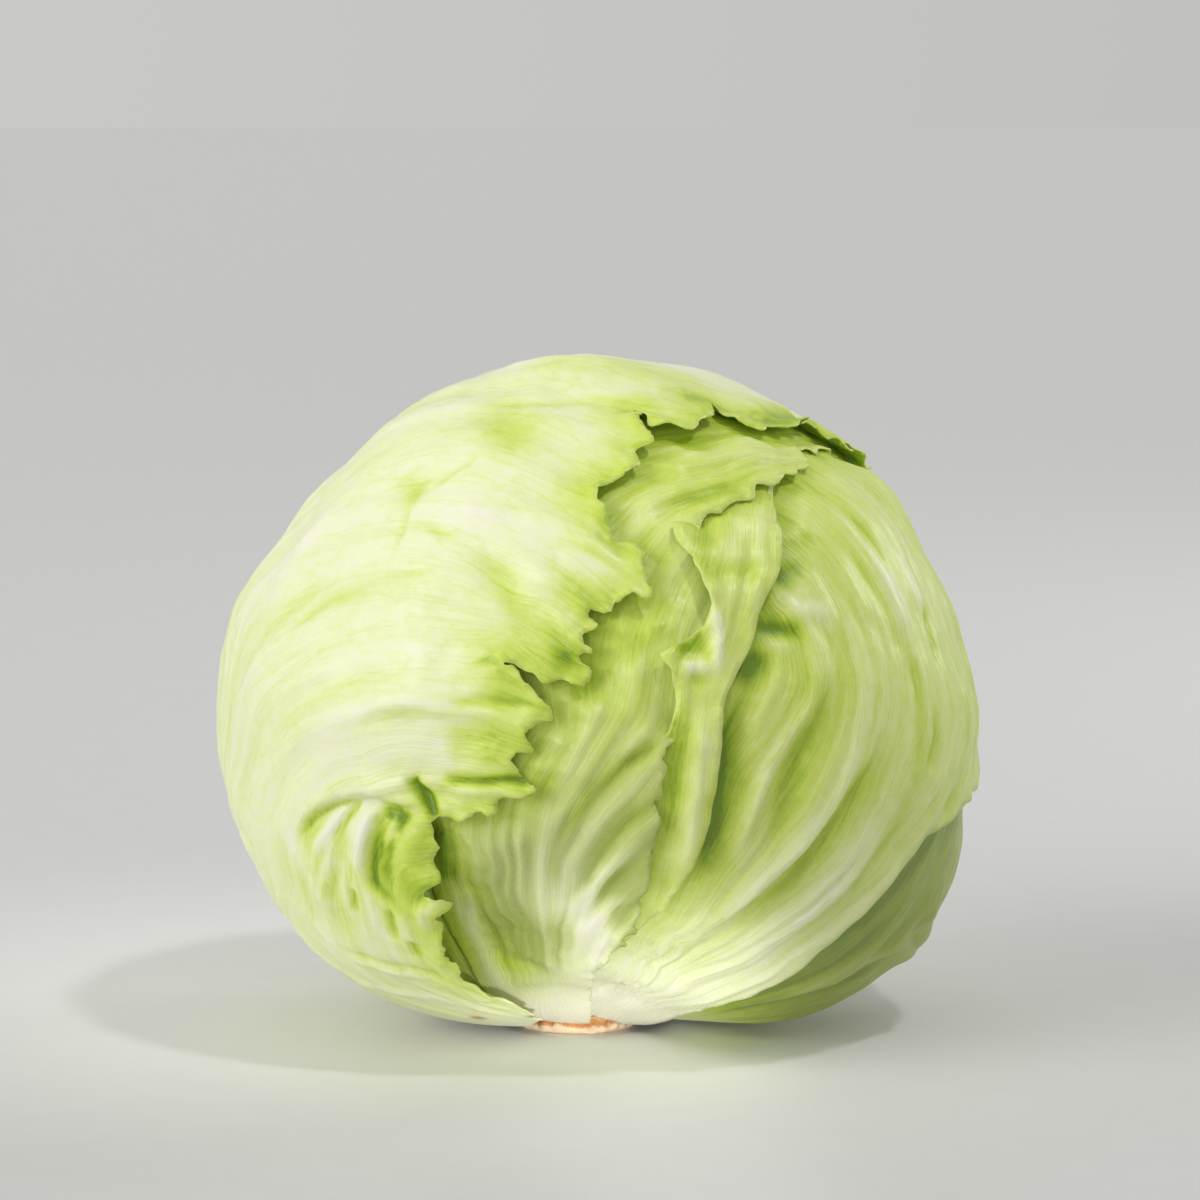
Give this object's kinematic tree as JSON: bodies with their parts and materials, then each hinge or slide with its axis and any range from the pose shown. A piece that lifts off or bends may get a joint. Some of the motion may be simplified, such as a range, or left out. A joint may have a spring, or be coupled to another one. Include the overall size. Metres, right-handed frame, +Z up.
{
  "type": "iceberg lettuce",
  "caption": "Round head of iceberg lettuce, with overlapping jagged leaves wrapped over a tight heart, standing on its flat cut stem.",
  "frame": {"origin": "centre of the flat cut face of the stem, which the head stands on", "axes": "+Z up from the cut stem through the middle of the head, -Y towards the front that the picture shows, +X to the right seen from the front"},
  "size_m": [0.1591, 0.1527, 0.1407],
  "materials": {
    "wrapper_leaf": "fresh pale green leaf with fine veins, slightly translucent, soft waxy gloss",
    "inner_leaf": "pale green to white ribbed leaf, slightly translucent, soft waxy gloss",
    "folded_leaf": "bright yellow-green thin leaf, translucent, soft waxy gloss",
    "stem": "moist white stem flesh with a browned, dry cut face",
    "heart": "pale yellow-green packed leaves, matt"
  },
  "bodies": {
    "root": {"cut_stem": "stem", "heart": "heart", "left_wrapper_leaf": "wrapper_leaf", "centre_leaf": "inner_leaf", "folded_leaf": "folded_leaf", "right_wrapper_leaf": "wrapper_leaf", "lower_right_leaf": "wrapper_leaf", "back_wrapper_leaf": "wrapper_leaf", "left_inner_leaf": "inner_leaf"}
  },
  "joints": []
}
